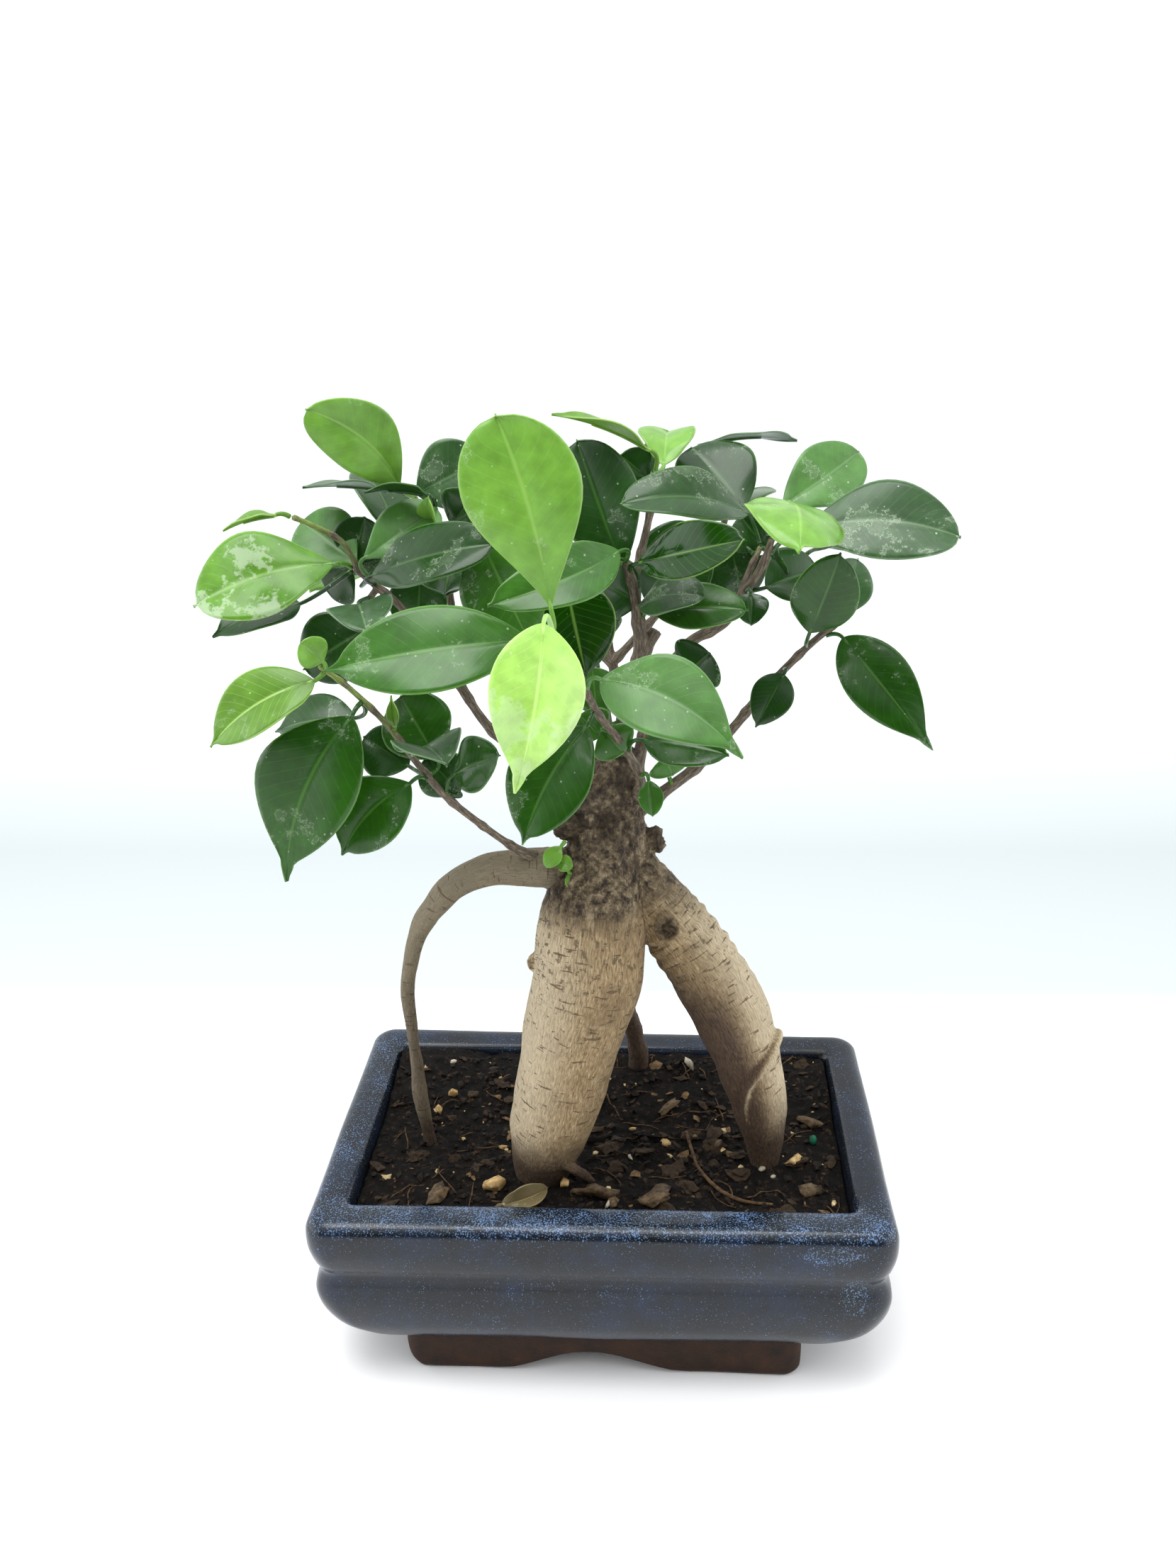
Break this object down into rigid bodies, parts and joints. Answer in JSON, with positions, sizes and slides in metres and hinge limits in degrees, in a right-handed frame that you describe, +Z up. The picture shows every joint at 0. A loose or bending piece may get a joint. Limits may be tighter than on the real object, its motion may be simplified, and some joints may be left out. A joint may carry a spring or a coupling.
{
  "type": "bonsai tree in a pot",
  "caption": "Small ficus grown as a bonsai on swollen arching roots, with glossy oval leaves, planted in soil in a glazed rectangular ceramic pot.",
  "frame": {"origin": "the middle of the whole plant's outline seen from above, on the surface that the pot stands on", "axes": "+Z up; X along the pot's long side with the leg root towards +X; the front of the plant faces -Y"},
  "size_m": [0.1792, 0.1438, 0.2628],
  "materials": {
    "glazed_stoneware": "glossy blue-black speckled glaze, bare red-brown clay on the foot",
    "potting_soil": "moist dark peat with bark chips",
    "trunk_bark": "pale fibrous bark, rough and dark on the neck",
    "young_stem": "thin grey-brown bark",
    "leaf_young": "waxy bright green leaf",
    "leaf_lime": "waxy yellow-green new leaf",
    "leaf_fresh": "waxy mid-green leaf",
    "leaf_deep": "waxy deep green leaf",
    "leaf_dusty": "dark green leaf with dried water marks"
  },
  "bodies": {
    "root": {"branch_back": "young_stem", "branch_centre": "young_stem", "branch_front": "young_stem", "branch_left_lower": "young_stem", "branch_left_upper": "young_stem", "branch_right_lower": "young_stem", "branch_right_upper": "young_stem", "leaf_back_dark_up_left": "leaf_deep", "leaf_behind_arched": "leaf_fresh", "leaf_behind_big": "leaf_deep", "leaf_behind_far_right": "leaf_deep", "leaf_behind_front_right": "leaf_deep", "leaf_behind_left_big": "leaf_young", "leaf_behind_left_long": "leaf_fresh", "leaf_behind_mid": "leaf_fresh", "leaf_behind_round": "leaf_fresh", "leaf_behind_top": "leaf_young", "leaf_behind_top_left": "leaf_deep", "leaf_centre_big_bright": "leaf_young", "leaf_centre_dark_up": "leaf_deep", "leaf_centre_drop": "leaf_fresh", "leaf_centre_glossy": "leaf_young", "leaf_centre_right_back": "leaf_deep", "leaf_centre_right_glossy": "leaf_young", "leaf_front_left_long": "leaf_fresh", "leaf_front_low_left": "leaf_fresh", "leaf_front_right_pointed": "leaf_fresh", "leaf_front_variegated": "leaf_lime", "leaf_left_big_bright": "leaf_young", "leaf_left_dark_low": "leaf_deep", "leaf_left_dark_wide": "leaf_deep", "leaf_left_dusty_front": "leaf_dusty", "leaf_left_dusty_up": "leaf_dusty", "leaf_left_grey_back": "leaf_dusty", "leaf_left_low_big": "leaf_deep", "leaf_left_low_folded": "leaf_dusty", "leaf_left_low_light": "leaf_young", "leaf_left_low_mid": "leaf_deep", "leaf_left_low_round": "leaf_deep", "leaf_left_twig_tip": "leaf_lime", "leaf_low_right_under": "leaf_fresh", "leaf_mid_flat_right": "leaf_fresh", "leaf_right_crinkled": "leaf_dusty", "leaf_right_dark_mid": "leaf_deep", "leaf_right_far": "leaf_dusty", "leaf_right_hanging_dark": "leaf_deep", "leaf_right_hanging_round": "leaf_deep", "leaf_right_light_folded": "leaf_young", "leaf_right_low_drop": "leaf_deep", "leaf_right_up_green": "leaf_fresh", "leaf_top_arched": "leaf_deep", "leaf_top_dark_round": "leaf_deep", "leaf_top_folded": "leaf_young", "leaf_top_left_bright": "leaf_young", "leaf_top_left_edge": "leaf_dusty", "leaf_top_lime": "leaf_lime", "leaf_top_right_edge": "leaf_dusty", "pot": "glazed_stoneware", "soil": "potting_soil", "trunk_and_roots": "trunk_bark"}
  },
  "joints": []
}
